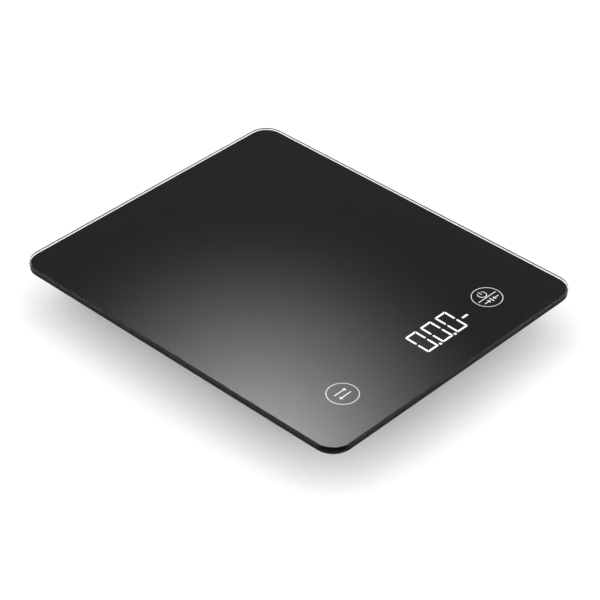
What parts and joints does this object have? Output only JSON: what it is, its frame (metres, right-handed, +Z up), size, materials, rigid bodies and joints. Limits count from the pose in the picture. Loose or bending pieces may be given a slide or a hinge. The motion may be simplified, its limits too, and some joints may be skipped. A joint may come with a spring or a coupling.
{
  "type": "kitchen scale",
  "caption": "Slim digital kitchen scale with a black glass platform, touch keys and a digit display under the glass, on four loose sensor feet, with a battery door underneath.",
  "frame": {"origin": "centre of the footprint, on the surface that the feet stand on", "axes": "+Z up, +Y along the plate's longer side, away from the user, who stands at the end with the keys and display; +X to the user's right"},
  "size_m": [0.18, 0.22, 0.0208],
  "materials": {
    "glass": "clear tempered float glass, polished faces, ground edge",
    "film": "black back print seen through the glass",
    "foam": "closed-cell foam tape",
    "frame_plastic": "fine moulded texture",
    "housing_plastic": "fine spark-eroded texture",
    "door_plastic": "fine spark-eroded texture",
    "foot_plastic": "smooth moulded",
    "foot_rubber": "matt silicone rubber",
    "cell_steel": "stamped spring steel, nickel plated",
    "bracket_plastic": "natural moulded plastic",
    "gauge_coating": "white silicone coating",
    "battery_case": "printed metal jacket",
    "contact_nickel": "nickel-plated spring strip",
    "board": "solder mask over glass-fibre laminate",
    "chip_resin": "moulded epoxy",
    "reflector": "white moulded plastic",
    "diffuser": "milky diffusing sheet",
    "spring_steel": "drawn plated wire",
    "wire_grey": "PVC insulation",
    "wire_red": "PVC insulation",
    "wire_black": "PVC insulation",
    "screw_zinc": "zinc plated"
  },
  "bodies": {
    "scale_body": {"glass_platform": "glass", "backing_film": "film", "bonding_tape": "foam", "upper_frame": "frame_plastic", "lower_housing": "housing_plastic", "load_cell_front_left": "cell_steel", "load_cell_front_right": "cell_steel", "load_cell_rear_left": "cell_steel", "load_cell_rear_right": "cell_steel", "cell_bracket_front_left": "bracket_plastic", "cell_bracket_front_right": "bracket_plastic", "cell_bracket_rear_left": "bracket_plastic", "cell_bracket_rear_right": "bracket_plastic", "strain_gauge_front_left": "gauge_coating", "strain_gauge_front_right": "gauge_coating", "strain_gauge_rear_left": "gauge_coating", "strain_gauge_rear_right": "gauge_coating", "battery_1": "battery_case", "battery_2": "battery_case", "battery_3": "battery_case", "contact_plus": "contact_nickel", "contact_minus": "contact_nickel", "contact_bridge_left": "contact_nickel", "contact_bridge_right": "contact_nickel", "main_pcb": "board", "controller_dome": "chip_resin", "driver_chip": "chip_resin", "display_reflector": "reflector", "segment_diffuser": "diffuser", "touch_spring_unit": "spring_steel", "touch_spring_tare": "spring_steel", "cell_harness_front_left": "wire_grey", "cell_harness_front_right": "wire_grey", "cell_harness_rear_left": "wire_grey", "cell_harness_rear_right": "wire_grey", "battery_lead_red": "wire_red", "battery_lead_black": "wire_black", "housing_screw_1": "screw_zinc", "housing_screw_2": "screw_zinc", "housing_screw_3": "screw_zinc", "housing_screw_4": "screw_zinc", "housing_screw_5": "screw_zinc", "housing_screw_6": "screw_zinc", "pcb_screw_1": "screw_zinc", "pcb_screw_2": "screw_zinc", "pcb_screw_3": "screw_zinc"},
    "foot_front_left": {"foot_cup_front_left": "foot_plastic", "foot_pad_front_left": "foot_rubber"},
    "foot_front_right": {"foot_cup_front_right": "foot_plastic", "foot_pad_front_right": "foot_rubber"},
    "foot_rear_left": {"foot_cup_rear_left": "foot_plastic", "foot_pad_rear_left": "foot_rubber"},
    "foot_rear_right": {"foot_cup_rear_right": "foot_plastic", "foot_pad_rear_right": "foot_rubber"},
    "door": {"battery_door": "door_plastic"}
  },
  "joints": [
    {"name": "foot_travel_front_left", "type": "slide", "parent": "scale_body", "child": "foot_front_left", "axis": [0, 0, -1], "range_m": [0, 0.0005]},
    {"name": "foot_travel_front_right", "type": "slide", "parent": "scale_body", "child": "foot_front_right", "axis": [0, 0, -1], "range_m": [0, 0.0005]},
    {"name": "foot_travel_rear_left", "type": "slide", "parent": "scale_body", "child": "foot_rear_left", "axis": [0, 0, -1], "range_m": [0, 0.0005]},
    {"name": "foot_travel_rear_right", "type": "slide", "parent": "scale_body", "child": "foot_rear_right", "axis": [0, 0, -1], "range_m": [0, 0.0005]},
    {"name": "battery_door_hinge", "type": "hinge", "parent": "scale_body", "child": "door", "pos_m": [0, 0.0183, 0.002], "axis": [-1, 0, 0], "range_deg": [0, 60]}
  ]
}
